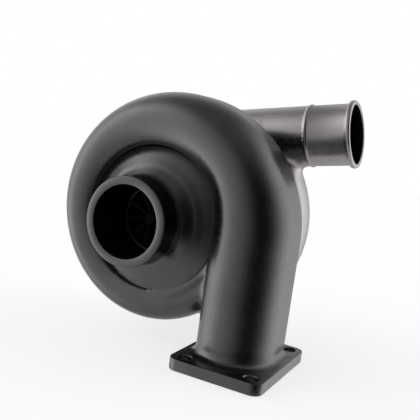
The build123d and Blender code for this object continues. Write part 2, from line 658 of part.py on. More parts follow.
def outlet_plane(along):
    """Plane across the compressor outlet tube, this far along it from where the volute ends."""
    a = radians(OUTLET_TILT_DEG)
    x = AXIS_X - OUTLET_OFFSET * sin(a) + along * cos(a)
    z = AXIS_Z + OUTLET_OFFSET * cos(a) + along * sin(a)
    return Plane(origin=(x, TUBE_Y, z), x_dir=(0, 1, 0), z_dir=(cos(a), 0, sin(a)))


def outlet_tube():
    """Straight hose connection with a rounded lip and a raised locating bead."""
    tube = rod(outlet_plane(0), TUBE_R, OUTLET_LENGTH)
    lip = rod(outlet_plane(OUTLET_LENGTH - LIP_W), LIP_R, LIP_W)
    ends = lip.edges().filter_by(GeomType.CIRCLE)
    lip = fillet(ends, 1.6)
    bead = rod(outlet_plane(OUTLET_LENGTH - BEAD_BACK - BEAD_W / 2), TUBE_R + BEAD_H, BEAD_W)
    bead = fillet(bead.edges().filter_by(GeomType.CIRCLE), BEAD_H * 0.8)
    return tube + lip + bead


def compressor_core():
    """Collar, wheel shroud and inlet snout."""
    rear = Polyline((0, COLLAR_BACK_Y), (COLLAR_R, COLLAR_BACK_Y), (COLLAR_R, 66.0), (70.0, 90.0), (62.0, 104.0))
    web = Bezier((62.0, 104.0), (52.0, 112.0), (INLET_R + 4, 110.0), (INLET_R, 124.0))
    snout = Polyline((INLET_R, 124.0), (INLET_R, 142.5), (INLET_BEAD_R, 143.5), (INLET_BEAD_R, 146.0),
                     (INLET_R, 147.0), (INLET_R, INLET_END_Y - 0.6), (INLET_R - 0.6, INLET_END_Y),
                     (0, INLET_END_Y), (0, COLLAR_BACK_Y))
    return turned(rear, web, snout)


def compressor_turned_void():
    """Backplate recess, diffuser, wheel shroud and inlet bore."""
    wall = DIFFUSER_Y + DIFFUSER_W
    throat = WHEEL_C_IN_R + WHEEL_GAP
    recess = Polyline((0, COLLAR_BACK_Y - 1), (BACKPLATE_R + 0.2, COLLAR_BACK_Y - 1),
                      (BACKPLATE_R + 0.2, DIFFUSER_Y), (DIFFUSER_OUT_R, DIFFUSER_Y), (DIFFUSER_OUT_R, wall),
                      (WHEEL_C_R + 2, wall))
    shroud = Bezier((WHEEL_C_R + 2, wall), (31.8, wall), (throat, 78.2), (throat, 88.0))
    inlet = Polyline((throat, 88.0), (throat, 108.0), (INLET_BORE_R, INLET_BORE_Y), (INLET_BORE_R, INLET_END_Y - 8),
                     (INLET_FLARE_R, INLET_END_Y), (INLET_FLARE_R, INLET_END_Y + 1),
                     (0, INLET_END_Y + 1), (0, COLLAR_BACK_Y - 1))
    return turned(recess, shroud, inlet)


def compressor_housing():
    """Cast aluminium volute with its inlet snout and tangential outlet."""
    body = volute_outer() + compressor_core() + outlet_tube()
    body = body - volute_passage() - compressor_turned_void()
    body = body - rod(outlet_plane(-0.5), TUBE_CAST_BORE_R, OUTLET_LENGTH + 1)
    body = body - rod(outlet_plane(OUTLET_LENGTH - TUBE_BORE_LENGTH), TUBE_BORE_R, TUBE_BORE_LENGTH + 1)
    for deg in clamp_bolt_angles():
        body = body - rod(on_circle(C_BOLT_CIRCLE_R, deg, COLLAR_BACK_Y), C_BOLT_R + 0.02, C_BOLT_DEPTH)
    return body


# ---- clamps, fasteners and o-rings -----------------------------------------------------------------
def clamp_plate(middle_deg, r_in, r_out, y0, hole_r, circle_r):
    """Curved plate with two bolt holes."""
    ring = turned_ring(r_in, r_out, y0, y0 + PLATE_T)
    half = PLATE_SPAN_DEG / 2
    reach = 2 * r_out
    corners = [(0, 0)]
    for deg in (middle_deg - half, middle_deg, middle_deg + half):
        corners.append((reach * cos(radians(deg)), reach * sin(radians(deg))))
    wedge_plane = Plane(origin=(AXIS_X, y0 + PLATE_T + 1, AXIS_Z), x_dir=(1, 0, 0), z_dir=(0, -1, 0))
    wedge = wedge_plane * extrude(make_face(Polyline(*corners, close=True).edges()), amount=PLATE_T + 2)
    plate = ring & wedge
    plate = fillet(plate.edges().filter_by(Axis.Y), 3.0)
    for side in (-PLATE_HOLE_DEG, PLATE_HOLE_DEG):
        plate = plate - rod(on_circle(circle_r, middle_deg + side, y0 - 1), hole_r + 0.3, PLATE_T + 2)
    return plate


def turbine_clamp_bolts():
    y = BEARING_FLANGE_BACK_Y + PLATE_T
    bolts = [hex_bolt(on_circle(T_BOLT_CIRCLE_R, deg, y), T_BOLT_R, y - TURBINE_BACK_Y + 9.5, 10.0, 5.0)
             for deg in clamp_bolt_angles()]
    return Compound(children=bolts)


def compressor_clamp_bolts():
    y = BACKPLATE_RIM_Y - PLATE_T
    bolts = [hex_bolt(on_circle(C_BOLT_CIRCLE_R, deg, y, -1), C_BOLT_R, COLLAR_BACK_Y - y + C_BOLT_DEPTH - 1, 10.0, 5.0)
             for deg in clamp_bolt_angles()]
    return Compound(children=bolts)


def backplate_screws():
    bolts = [hex_bolt(on_circle(SCREW_CIRCLE_R, deg, REAR_FLANGE_Y, -1), SCREW_R,
                      BEARING_END_Y - REAR_FLANGE_Y + 7.5, 9.0, 4.5) for deg in backplate_screw_angles()]
    return Compound(children=bolts)


def o_ring(radius, y, section):
    """Round rubber ring about the rotor axis."""
    face = level_plane(AXIS_Z) * (Pos(radius, y) * Circle(section))
    return revolve(face, axis=Axis((AXIS_X, 0, AXIS_Z), (0, 1, 0)))


def main():
    os.makedirs("parts", exist_ok=True)
    save("turbine_housing", turbine_housing())
    save("turbine_wheel", turbine_wheel())
    save("turbine_heat_shield", heat_shield())
    save("bearing_housing", bearing_housing())
    save("turbine_side_journal_bearing", journal_bearing(T_BEARING_Y))
    save("compressor_side_journal_bearing", journal_bearing(C_BEARING_Y))
    save("bearing_snap_rings", snap_rings())
    save("rotor_shaft", rotor_shaft())
    save("thrust_washer", thrust_washer())
    save("thrust_collar", thrust_collar())
    save("thrust_bearing", thrust_bearing())
    save("oil_deflector", oil_deflector())
    save("oil_flinger", oil_flinger())
    save("turbine_seal_ring", split_ring(SEAL_COLLAR_R - 0.9, SEAL_BORE_R, 17.1, 18.5, 8))
    save("compressor_seal_ring", split_ring(7.6, SEAL_BORE_R, 58.6, 60.0, 8))
    save("compressor_backplate", backplate())
    save("backplate_screws", backplate_screws())
    save("backplate_o_ring", o_ring(35.5, BEARING_END_Y - 0.85, 0.8))
    save("compressor_o_ring", o_ring(BACKPLATE_R - 0.75, 61.7, 0.9))
    save("compressor_wheel", compressor_wheel())
    save("shaft_nut", shaft_nut())
    save("compressor_housing", compressor_housing())
    for number, deg in enumerate((30, 150, 270), 1):
        save(f"turbine_clamp_plate_{number}",
             clamp_plate(deg, T_PLATE_IN_R, T_PLATE_OUT_R, BEARING_FLANGE_BACK_Y, T_BOLT_R, T_BOLT_CIRCLE_R))
        save(f"compressor_clamp_plate_{number}",
             clamp_plate(deg, C_PLATE_IN_R, C_PLATE_OUT_R, BACKPLATE_RIM_Y - PLATE_T, C_BOLT_R, C_BOLT_CIRCLE_R))
    save("turbine_clamp_bolts", turbine_clamp_bolts())
    save("compressor_clamp_bolts", compressor_clamp_bolts())


main()
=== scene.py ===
import json
from math import atan2, cos, degrees, exp, pi, radians, sin

import bmesh
import bpy
import numpy as np
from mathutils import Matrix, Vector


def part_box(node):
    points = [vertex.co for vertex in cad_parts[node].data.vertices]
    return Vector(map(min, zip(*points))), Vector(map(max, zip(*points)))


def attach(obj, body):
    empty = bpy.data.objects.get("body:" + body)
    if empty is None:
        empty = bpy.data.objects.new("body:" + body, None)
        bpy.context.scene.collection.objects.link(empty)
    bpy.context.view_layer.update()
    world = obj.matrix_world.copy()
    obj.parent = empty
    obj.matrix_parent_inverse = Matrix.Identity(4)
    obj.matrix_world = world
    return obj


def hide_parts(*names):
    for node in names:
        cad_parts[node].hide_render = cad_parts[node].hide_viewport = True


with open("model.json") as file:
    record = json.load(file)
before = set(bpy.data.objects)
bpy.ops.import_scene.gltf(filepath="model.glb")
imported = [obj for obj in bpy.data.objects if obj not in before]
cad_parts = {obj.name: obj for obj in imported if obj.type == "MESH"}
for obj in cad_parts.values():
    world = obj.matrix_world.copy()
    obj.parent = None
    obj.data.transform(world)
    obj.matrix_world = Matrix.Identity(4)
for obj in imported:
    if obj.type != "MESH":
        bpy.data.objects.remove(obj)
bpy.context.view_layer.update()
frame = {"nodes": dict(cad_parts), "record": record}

import openvdb
from mathutils import Matrix, Vector

MM = 0.001

# ---- places read from the frame (millimetres) -------------------------------------------------
MOUNTS = {m["name"]: m for m in frame["record"]["mounts"]}


def box_mm(node):
    """Lowest and highest corners of a CAD node, in millimetres."""
    lo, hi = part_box(node)
    return np.array(lo) / MM, np.array(hi) / MM


AXIS_X, _, AXIS_Z = [v / MM for v in MOUNTS["turbine_outlet"]["pos_m"]]
TURBINE_LO, TURBINE_HI = box_mm("turbine_housing")
COMP_LO, COMP_HI = box_mm("compressor_housing")
MOUTH_Y = TURBINE_LO[1]
OUTLET_BORE_R = MOUNTS["turbine_outlet"]["dims"]["r_mm"]
TUBE_BORE_R = MOUNTS["compressor_outlet"]["dims"]["r_mm"]
INLET_BORE_R = MOUNTS["compressor_inlet"]["dims"]["r_mm"]
TUBE_DIR = np.array(MOUNTS["compressor_outlet"]["axis"])
TUBE_POINT = np.array(MOUNTS["compressor_outlet"]["pos_m"]) / MM
FLANGE_HOLES = MOUNTS["turbine_inlet_bolts"]["dims"]

# ---- turbine casting shape (millimetres) ------------------------------------------------------
FLANGE_T = 9.0
FLANGE_CORNER_R = 8.4
TURBINE_BACK_Y = 24.85
BAND_FRONT_Y = 3.85
SCROLL_IN_R = 56.7
SCROLL_ROOT_Y = -15.5
SCROLL_OUT_R = 115.2
SCROLL_OUT_FALL = 10.6
SCROLL_OUT_EASE = 0.75
SCROLL_SLIM = 3.6
SCROLL_SLIM_QUARTERS = 3.4
SCROLL_FRONT_Y = -34.0
SCROLL_FRONT_RISE = 6.6
SCROLL_EASE = 0.12
SCROLL_END_DEG = 336
PASSAGE_END_DEG = 299
APEX_SHARE = 0.46
SQUARENESS = 2.15               # exponent of the scroll's rounded front
CAST_WALL = 5.0
BACK_EDGE_R = 1.6
MOUTH_R = 35.0
NECK_R = 33.0
DISC_R = 58.7
DISC_EDGE_Y = -14.2
GROOVE_R = 60.1                 # a narrow groove parts the disc from the scroll
GROOVE_Y = -12.0
GROOVE_BLEND = 5.0
SADDLE_BLEND = 9.0
TAP_R = 3.3
TAP_Y = -15.5
FOOT_BLEND = 7.0
PLATE_INSET = 2.0                # the cast foot stays this far inside the machined flange
CAST_STEP = 1.4                  # mesh size outside
PASSAGE_STEP = 2.2               # mesh size inside


def smooth_min(a, b, k):
    """Union of two distance fields with a fillet about k wide."""
    h = np.maximum(k - np.abs(a - b), 0) / k
    return np.minimum(a, b) - h * h * k / 4


def smooth_max(a, b, k):
    return -smooth_min(-a, -b, k)


def along_profile(y, points):
    """Radius at y of a smooth profile through (y, radius) points, and the profile's slope."""
    ys, rs = np.array(points, float).T
    step = np.diff(rs) / np.diff(ys)
    slope = np.zeros(len(ys))
    inner = step[:-1] * step[1:] > 0
    slope[1:-1][inner] = 2 * step[:-1][inner] * step[1:][inner] / (step[:-1] + step[1:])[inner]
    i = np.clip(np.searchsorted(ys, y) - 1, 0, len(ys) - 2)
    width = ys[i + 1] - ys[i]
    t = np.clip((y - ys[i]) / width, 0, 1)
    a, b, c, d = rs[i], rs[i + 1], slope[i] * width, slope[i + 1] * width
    radius = a + t * (c + t * (3 * (b - a) - 2 * c - d + t * (2 * (a - b) + c + d)))
    rate = (c + t * (2 * (3 * (b - a) - 2 * c - d) + t * 3 * (2 * (a - b) + c + d))) / width
    return radius, rate


def turned_field(r, y, points, y0, y1):
    """Distance to a solid turned about the rotor axis, between two end planes."""
    radius, rate = along_profile(y, points)
    return np.maximum((r - radius) / np.sqrt(1 + rate * rate), np.maximum(y0 - y, y - y1))


def d_field(r, y, r_in, r_out, y_front):
    """Distance to the scroll's section: flat back, flat outer band, rounded front."""
    apex = r_in + APEX_SHARE * (r_out - r_in)
    outer = r >= apex
    width = np.where(outer, r_out - apex, apex - r_in)
    root = np.where(outer, BAND_FRONT_Y, np.maximum(SCROLL_ROOT_Y, y_front + 1.0))
    depth = root - y_front
    u = np.abs(r - apex) / width
    v = np.maximum(root - y, 0) / depth
    n = SQUARENESS
    size = np.maximum((u ** n + v ** n) ** (1 / n), 0.15)
    slope = size ** (1 - n) * np.sqrt((u ** (n - 1) / width) ** 2 + (v ** (n - 1) / depth) ** 2)
    front = (size - 1) / np.maximum(slope, 1e-4)
    return smooth_max(np.maximum(front, -30), y - TURBINE_BACK_Y, 2 * BACK_EDGE_R)


def scroll_sizes(deg):
    """Outer radius and front face of the scroll at an angle."""
    q = np.maximum(deg, 0) / 90
    q = q - SCROLL_EASE * (1 - np.exp(-q / SCROLL_EASE))
    out = SCROLL_OUT_R - SCROLL_OUT_FALL * q + SCROLL_OUT_EASE * q * q / 2
    out = out - SCROLL_SLIM * np.sin(pi * np.minimum(q / SCROLL_SLIM_QUARTERS, 1)) ** 2
    return out, SCROLL_FRONT_Y + SCROLL_FRONT_RISE * q


def polar(p):
    """Radius and angle (0 to 360 degrees) about the rotor axis."""
    dx, dz = p[:, 0] - AXIS_X, p[:, 2] - AXIS_Z
    return np.hypot(dx, dz), np.degrees(np.arctan2(dz, dx)) % 360


def scroll_fields(p):
    """Distances to the leg and to the scroll, before their ends are cut."""
    r, deg = polar(p)
    out, front = scroll_sizes(deg)
    groove = SCROLL_IN_R + (GROOVE_R - SCROLL_IN_R) * ease(deg / 40)
    scroll = d_field(r, p[:, 1], groove, out, front)
    leg = d_field(p[:, 0] - AXIS_X, p[:, 1], SCROLL_IN_R, SCROLL_OUT_R, SCROLL_FRONT_Y)
    leg = np.where(p[:, 2] < AXIS_Z, leg, 1e3)
    return leg, scroll, r, deg


def ease(t):
    t = np.clip(t, 0, 1)
    return t * t * (3 - 2 * t)


def turbine_outside(p):
    """Distance to the turbine casting's outside."""
    leg, scroll, r, deg = scroll_fields(p)
    scroll = np.maximum(scroll, r * np.radians(deg - SCROLL_END_DEG))
    web = np.maximum(r - GROOVE_R - 2, np.maximum(GROOVE_Y - p[:, 1], p[:, 1] - TURBINE_BACK_Y))
    body = smooth_min(leg, scroll, SADDLE_BLEND)
    body = smooth_min(body, web, GROOVE_BLEND)
    plate = np.maximum(np.abs(p[:, 0]) - TURBINE_HI[0], np.abs(p[:, 1]) - TURBINE_HI[1]) + PLATE_INSET
    plate = np.maximum(plate, p[:, 2] - FLANGE_T + 0.06)
    body = smooth_min(body, plate, FOOT_BLEND)
    return np.maximum(body, 1.0 - p[:, 2])


def turbine_passage(p):
    """Distance to the gas passage inside the leg and the scroll."""
    leg, scroll, r, deg = scroll_fields(p)
    scroll = np.maximum(scroll + CAST_WALL, r * np.radians(deg - PASSAGE_END_DEG))
    return smooth_min(leg + CAST_WALL, scroll, 4.0)


# ---- meshing --------------------------------------------------------------------------------
def on_grid(field, lo, hi, step, pad=3):
    """The field sampled on a grid that covers the box."""
    lo = np.array(lo) - pad * step
    counts = np.ceil((np.array(hi) + pad * step - lo) / step).astype(int) + 1
    xs, ys, zs = (lo[i] + step * np.arange(counts[i]) for i in range(3))
    values = np.empty(counts, np.float32)
    for i, x in enumerate(xs):
        yy, zz = np.meshgrid(ys, zs, indexing="ij")
        points = np.stack([np.full(yy.size, x), yy.ravel(), zz.ravel()], axis=1)
        values[i] = field(points).reshape(yy.shape)
    return values, lo


def settle(points, field, rounds=4):
    """Moves points onto the field's surface along its gradient."""
    e = 0.02
    for _ in range(rounds):
        d = field(points)
        change = [field(points + e * axis) - field(points - e * axis) for axis in np.eye(3)]
        g = np.stack(change, axis=1) / (2 * e)
        size = np.maximum((g * g).sum(axis=1), 0.05)
        points = points - np.clip(d / size, -1.0, 1.0)[:, None] * g
    return points


def cast_mesh(name, field, lo, hi, step):
    """A mesh of the field's surface, with its points settled exactly onto it."""
    values, start = on_grid(field, lo, hi, step)
    grid = openvdb.FloatGrid(background=10.0)
    grid.copyFromArray(np.clip(values, -10, 10).astype(np.float32))
    points, triangles, quads = grid.convertToPolygons(isovalue=0.0, adaptivity=0.0)
    points = settle(points.astype(float) * step + start, field)
    faces = [list(f) for f in triangles] + [list(f) for f in quads]
    mesh = bpy.data.meshes.new(name)
    mesh.from_pydata((points * MM).tolist(), [], faces)
    mesh.validate()
    return mesh


def lathe_mesh(name, profile, origin, axis, segments=180):
    """Closed mesh turned about an axis, from (radius, distance along it) points; ends close on the axis."""
    axis = Vector(axis).normalized()
    side = axis.orthogonal().normalized()
    other = axis.cross(side)
    points, faces, rows = [], [], []
    for radius, along in profile:
        centre = Vector(origin) + axis * along
        count = 1 if radius < 1e-6 else segments
        rows.append((len(points), count))
        for i in range(count):
            a = 2 * pi * i / segments
            points.append(tuple(centre + radius * (cos(a) * side + sin(a) * other)))
    for (start, count), (after, number) in zip(rows, rows[1:] + rows[:1]):
        if count == number == 1:
            continue
        for i in range(segments):
            j = (i + 1) % segments
            quad = [start + i % count, start + j % count, after + j % number, after + i % number]
            faces.append([v for n, v in enumerate(quad) if v not in quad[:n]])
    mesh = bpy.data.meshes.new(name)
    mesh.from_pydata([tuple(c * MM for c in p) for p in points], [], faces)
    fixed = bmesh.new()
    fixed.from_mesh(mesh)
    bmesh.ops.recalc_face_normals(fixed, faces=fixed.faces)
    fixed.to_mesh(mesh)
    fixed.free()
    return mesh


def smooth_curve(points, steps=8):
    """A finer profile that passes smoothly through the points."""
    p = [Vector(q) for q in points]
    p = [2 * p[0] - p[1]] + p + [2 * p[-1] - p[-2]]
    fine = []
    for a, b, c, d in zip(p, p[1:], p[2:], p[3:]):
        for i in range(steps):
            t = i / steps
            fine.append(0.5 * (2 * b + (c - a) * t + (2 * a - 5 * b + 4 * c - d) * t * t
                               + (3 * b - a - 3 * c + d) * t ** 3))
    return [tuple(q) for q in fine] + [tuple(p[-2])]


def make_object(name, mesh):
    obj = bpy.data.objects.new(name, mesh)
    bpy.context.scene.collection.objects.link(obj)
    return obj


def combine(obj, operation, tools):
    """Joins or cuts closed meshes, one after another, and keeps the result as the object's mesh."""
    for mesh in tools:
        tool = make_object("tool", mesh)
        step = obj.modifiers.new("step", "BOOLEAN")
        step.operation, step.solver, step.object = operation, "MANIFOLD", tool
        graph = bpy.context.evaluated_depsgraph_get()
        result = bpy.data.meshes.new_from_object(obj.evaluated_get(graph))
        obj.modifiers.clear()
        old, obj.data = obj.data, result
        result.name = obj.name
        bpy.data.meshes.remove(old)
        bpy.data.objects.remove(tool)
        bpy.data.meshes.remove(mesh)


def shade(obj, sharp_deg=32):
    """Smooth shading that keeps machined edges crisp."""
    mesh = obj.data
    mesh.polygons.foreach_set("use_smooth", np.ones(len(mesh.polygons), bool))
    mesh.set_sharp_from_angle(angle=radians(sharp_deg))
    mesh.materials.clear()


def axis_lathe(name, profile, segments=180):
    """A mesh turned about the rotor axis, from (radius, y) points."""
    return lathe_mesh(name, profile, (AXIS_X, 0, AXIS_Z), (0, 1, 0), segments)


# ---- turbine casting --------------------------------------------------------------------------
def flange_plate():
    """The foot flange with rounded corners and broken edges."""
    half_x, half_y = TURBINE_HI[0], TURBINE_HI[1]
    outline = []
    for n, (sx, sy) in enumerate(((1, 1), (-1, 1), (-1, -1), (1, -1))):
        for i in range(13):
            a = radians(90 * n + 90 * i / 12)
            outline.append((sx * (half_x - FLANGE_CORNER_R) + FLANGE_CORNER_R * cos(a),
                            sy * (half_y - FLANGE_CORNER_R) + FLANGE_CORNER_R * sin(a)))
    edge = 0.6
    points, faces = [], []
    for inset, z in ((edge, 0), (0.2 * edge, 0.2 * edge), (0, edge), (0, FLANGE_T - edge),
                     (0.2 * edge, FLANGE_T - 0.2 * edge), (edge, FLANGE_T)):
        for x, y in outline:
            points.append((x * (1 - inset / half_x) * MM, y * (1 - inset / half_y) * MM, z * MM))
    count = len(outline)
    for level in range(5):
        for i in range(count):
            j = (i + 1) % count
            a = level * count
            faces.append([a + i, a + j, a + count + j, a + count + i])
    faces.append(list(range(count))[::-1])
    faces.append(list(range(5 * count, 6 * count)))
    mesh = bpy.data.meshes.new("flange_plate")
    mesh.from_pydata(points, [], faces)
    return mesh


def flange_hole_tools():
    """Cutters for the four bolt holes, each with a chamfer at the top."""
    r = FLANGE_HOLES["hole_r_mm"]
    tools = []
    for sx in (-0.5, 0.5):
        for sy in (-0.5, 0.5):
            at = (sx * FLANGE_HOLES["spacing_x_mm"], sy * FLANGE_HOLES["spacing_y_mm"], 0)
            profile = [(0, -2), (r + 0.6, -2), (r + 0.6, 0), (r, 0.6), (r, FLANGE_T - 0.8),
                       (r + 0.9, FLANGE_T + 0.1), (r + 0.9, FLANGE_T + 2), (0, FLANGE_T + 2)]
            tools.append(lathe_mesh("hole", profile, at, (0, 0, 1), 64))
    return tools


def turbine_bore():
    """Cutter for everything that is machined about the rotor axis."""
    cone_y = -20.6
    exit_y = -15.0
    exit_r = 25.9
    tip_y = 1.6
    tip_r = 33.4
    shield_y = 12.0
    shield_r = 62.7
    web_r = 38.0
    recess_y = 19.2
    recess_r = 47.2
    throat = smooth_curve([(exit_r, -9), (exit_r + 0.5, -4.5), (exit_r + 2.6, -0.7), (tip_r, tip_y)], 5)
    profile = [(0, MOUTH_Y - 2), (OUTLET_BORE_R + 1.0, MOUTH_Y - 2), (OUTLET_BORE_R + 1.0, MOUTH_Y - 0.1),
               (OUTLET_BORE_R + 0.25, MOUTH_Y + 0.2), (OUTLET_BORE_R, MOUTH_Y + 0.9), (OUTLET_BORE_R, cone_y),
               (exit_r, exit_y)] + throat
    profile += [(shield_r, tip_y), (shield_r, shield_y), (web_r, shield_y), (web_r, recess_y),
                (recess_r, recess_y), (recess_r, TURBINE_BACK_Y + 2), (0, TURBINE_BACK_Y + 2)]
    return axis_lathe("bore", profile)


def outlet_neck():
    """Machined mouth, neck, flare and disc in front of the scroll."""
    core_r = 27.0
    ring = [(core_r, MOUTH_Y), (MOUTH_R - 0.9, MOUTH_Y), (MOUTH_R - 0.25, MOUTH_Y + 0.25),
            (MOUTH_R, MOUTH_Y + 0.9), (MOUTH_R, MOUTH_Y + 2.5), (MOUTH_R - 0.25, MOUTH_Y + 3.0),
            (NECK_R + 0.15, MOUTH_Y + 3.4), (NECK_R, MOUTH_Y + 4.0), (NECK_R, -50.0)]
    flare = smooth_curve([(NECK_R, -38.0), (33.7, -33), (35.8, -29), (38.7, -26), (41.9, -23.4),
                          (45.0, -21.7), (49.0, -19.3), (53.2, -17.1)], 4)
    back_y = 10.0
    edge = [(DISC_R - 0.5, DISC_EDGE_Y - 0.1), (DISC_R - 0.1, DISC_EDGE_Y + 0.15),
            (DISC_R, DISC_EDGE_Y + 0.5), (DISC_R, back_y), (core_r, back_y)]
    return axis_lathe("neck", ring + flare + edge)


def tap_hole():
    """Cutter for the small drilled hole low in the outlet's throat."""
    depth = 33.0
    profile = [(0, 0), (TAP_R, 0), (TAP_R, depth), (0, depth)]
    return lathe_mesh("tap", profile, (AXIS_X, TAP_Y, AXIS_Z), (0.62, 0, -0.785), 48)


def turbine_casting():
    """Scroll, leg, flange and outlet neck in one piece."""
    outside = cast_mesh("turbine_casting", turbine_outside, TURBINE_LO, TURBINE_HI, CAST_STEP)
    passage = cast_mesh("passage", lambda p: np.maximum(turbine_passage(p), -3.0 - p[:, 2]),
                        TURBINE_LO, TURBINE_HI, PASSAGE_STEP)
    piece = make_object("turbine_casting", outside)
    combine(piece, "UNION", [flange_plate(), outlet_neck()])
    combine(piece, "DIFFERENCE", [passage, turbine_bore(), tap_hole()] + flange_hole_tools()
            + bolt_hole_tools(T_BOLT_CIRCLE_R, T_BOLT_R, TURBINE_BACK_Y - 9.5, TURBINE_BACK_Y + 1))
    shade(piece)
    return piece


# ---- compressor casting -----------------------------------------------------------------------
TUBE_R = 26.6
TUBE_LENGTH = 143.0
TUBE_Y = 88.0
LIP_R = 29.1
LIP_W = 4.6
BEAD_BACK = 39.0
BEAD_H = 1.0
TUBE_SEAM = TUBE_LENGTH - BEAD_BACK     # cast behind the bead, turned in front of it
VOLUTE_OUT_R = 98.5
VOLUTE_HALF_R = 24.0
VOLUTE_HALF_Y = 27.0
VOLUTE_TURN_DEG = 318.0
VOLUTE_BACK_Y = 61.4
VOLUTE_GROWN_AT = 0.2           # share of the turn by which the section is full
VOLUTE_OUT_AT = 0.45            # share of the turn by which the outer radius is reached
PASSAGE_START_R = 24.2
PASSAGE_HALF = 22.0
PASSAGE_HALF_END = 11.0
PASSAGE_Y = 89.0
PASSAGE_TURN_DEG = 300.0
PASSAGE_GROWN_AT = 0.12
PASSAGE_MID_R = 68.0
PASSAGE_MID_RISE = 6.0
PASSAGE_BORE_LENGTH = 60.0
TUBE_CAST_BORE_R = 24.4
INLET_R = 38.0
INLET_BORE_Y = 115.5
INLET_FLARE_R = 34.5
BACKPLATE_R = 68.0
SNOUT_SEAM_Y = 130.0
CORE_BLEND = 7.0
C_BOLT_CIRCLE_R = 75.0
C_BOLT_R = 3.0
T_BOLT_CIRCLE_R = 55.5
T_BOLT_R = 3.0
COLLAR_Y = 57.0
COLLAR_R = 82.0
TONGUE_BLEND = 12.0
CORE_PROFILE = [(50, 81.4), (66.0, 81.4), (70, 80.6), (90.0, 70.0), (104.0, 60.0), (109, 51.5), (113.5, 45.0),
                (119, 40.2), (124.0, 37.9), (131.0, 37.1)]
COMP_BACK_Y = COMP_HI[1]

# the outlet tube starts where its axis passes nearest to the rotor's
ROTOR_POINT = np.array([AXIS_X, TUBE_Y, AXIS_Z])
TUBE_START = TUBE_POINT - ((TUBE_POINT - ROTOR_POINT) @ TUBE_DIR) * TUBE_DIR
OUTLET_OFFSET = np.linalg.norm(TUBE_START - ROTOR_POINT)
OUTLET_DEG = 90 + degrees(atan2(TUBE_DIR[2], TUBE_DIR[0]))


def volute_section(r, y, out, half_r, mid_y, half_y, n):
    """Distance to a rounded section with an outer radius, two half sizes and a squareness."""
    u = np.abs(r - out + half_r) / half_r
    v = np.abs(y - mid_y) / half_y
    size = np.maximum((u ** n + v ** n) ** (1 / n), 0.15)
    slope = size ** (1 - n) * np.sqrt((u ** (n - 1) / half_r) ** 2 + (v ** (n - 1) / half_y) ** 2)
    return np.maximum((size - 1) / np.maximum(slope, 1e-4), -30)


def compressor_frame(p):
    """Radius about the rotor, turn round the volute, distance along the tube and away from its axis."""
    r, deg = polar(p)
    turned = (deg - OUTLET_DEG + 20) % 360 - 20
    rel = p - TUBE_START
    along = rel @ TUBE_DIR
    away = np.sqrt(np.maximum((rel * rel).sum(axis=1) - along * along, 0))
    return r, turned, along, away


def compressor_outside(p):
    """Distance to the compressor casting's outside."""
    r, turned, along, away = compressor_frame(p)
    done = turned / VOLUTE_TURN_DEG
    grown = ease(done / VOLUTE_GROWN_AT)
    out = OUTLET_OFFSET + TUBE_R + (VOLUTE_OUT_R - OUTLET_OFFSET - TUBE_R) * ease(done / VOLUTE_OUT_AT)
    half_r = TUBE_R + (VOLUTE_HALF_R - TUBE_R) * grown
    half_y = TUBE_R + (VOLUTE_HALF_Y - TUBE_R) * grown
    mid_y = TUBE_Y + (VOLUTE_BACK_Y + VOLUTE_HALF_Y - TUBE_Y) * grown
    volute = volute_section(r, p[:, 1], out, half_r, mid_y, half_y, 2 + 0.5 * grown)
    volute = np.maximum(volute, r * np.radians(np.maximum(turned - VOLUTE_TURN_DEG, -turned)))
    tube = np.maximum(away - TUBE_R, np.maximum(-along, along - TUBE_SEAM))
    blended = smooth_min(volute, tube, TONGUE_BLEND * ease(along / TONGUE_BLEND) + 0.01)
    body = np.where(along > 0, blended, np.minimum(volute, tube))
    core = turned_field(r, p[:, 1], CORE_PROFILE, COLLAR_Y + 2, SNOUT_SEAM_Y)
    return smooth_min(body, core, CORE_BLEND)


def compressor_passage(p):
    """Distance to the air passage round the wheel; the tongue end is the small one."""
    r, turned, along, away = compressor_frame(p)
    done = turned / PASSAGE_TURN_DEG
    grown = np.clip(done / PASSAGE_GROWN_AT, 0, 1)
    half = PASSAGE_HALF + (PASSAGE_HALF_END - PASSAGE_HALF) * done
    half = PASSAGE_START_R + (half - PASSAGE_START_R) * grown
    mid_r = OUTLET_OFFSET + (PASSAGE_MID_R + PASSAGE_MID_RISE * done - OUTLET_OFFSET) * grown
    mid_y = TUBE_Y + (PASSAGE_Y - PASSAGE_HALF + half - TUBE_Y) * grown
    tunnel = np.hypot(r - mid_r, p[:, 1] - mid_y) - half
    tunnel = np.maximum(tunnel, r * np.radians(np.maximum(turned - PASSAGE_TURN_DEG, -turned)))
    bore = np.maximum(away - PASSAGE_START_R, np.maximum(-along, along - PASSAGE_BORE_LENGTH))
    return np.minimum(tunnel, bore)


def compressor_bore():
    """Cutter for the backplate recess, diffuser, wheel shroud and inlet bore."""
    recess_y = 66.0
    diffuser_r = 63.0
    wall = 71.5
    tip_r = 37.0
    throat = 26.0
    shroud = smooth_curve([(tip_r + 2, wall), (33.2, 72.6), (29.0, 76.2), (throat + 0.4, 81.5),
                           (throat, 88.0)], 4)
    profile = [(0, COLLAR_Y - 2), (BACKPLATE_R + 1.0, COLLAR_Y - 2), (BACKPLATE_R + 1.0, COLLAR_Y),
               (BACKPLATE_R + 0.2, COLLAR_Y + 0.8), (BACKPLATE_R + 0.2, recess_y), (diffuser_r, recess_y),
               (diffuser_r, wall)]
    profile += shroud + [(throat, 108.0), (INLET_BORE_R, INLET_BORE_Y), (INLET_BORE_R, COMP_BACK_Y - 8),
                         (INLET_BORE_R + 1.0, COMP_BACK_Y - 5.5), (INLET_FLARE_R - 0.9, COMP_BACK_Y - 0.9),
                         (INLET_FLARE_R, COMP_BACK_Y + 0.05), (INLET_FLARE_R + 1, COMP_BACK_Y + 2),
                         (0, COMP_BACK_Y + 2)]
    return axis_lathe("bore", profile)


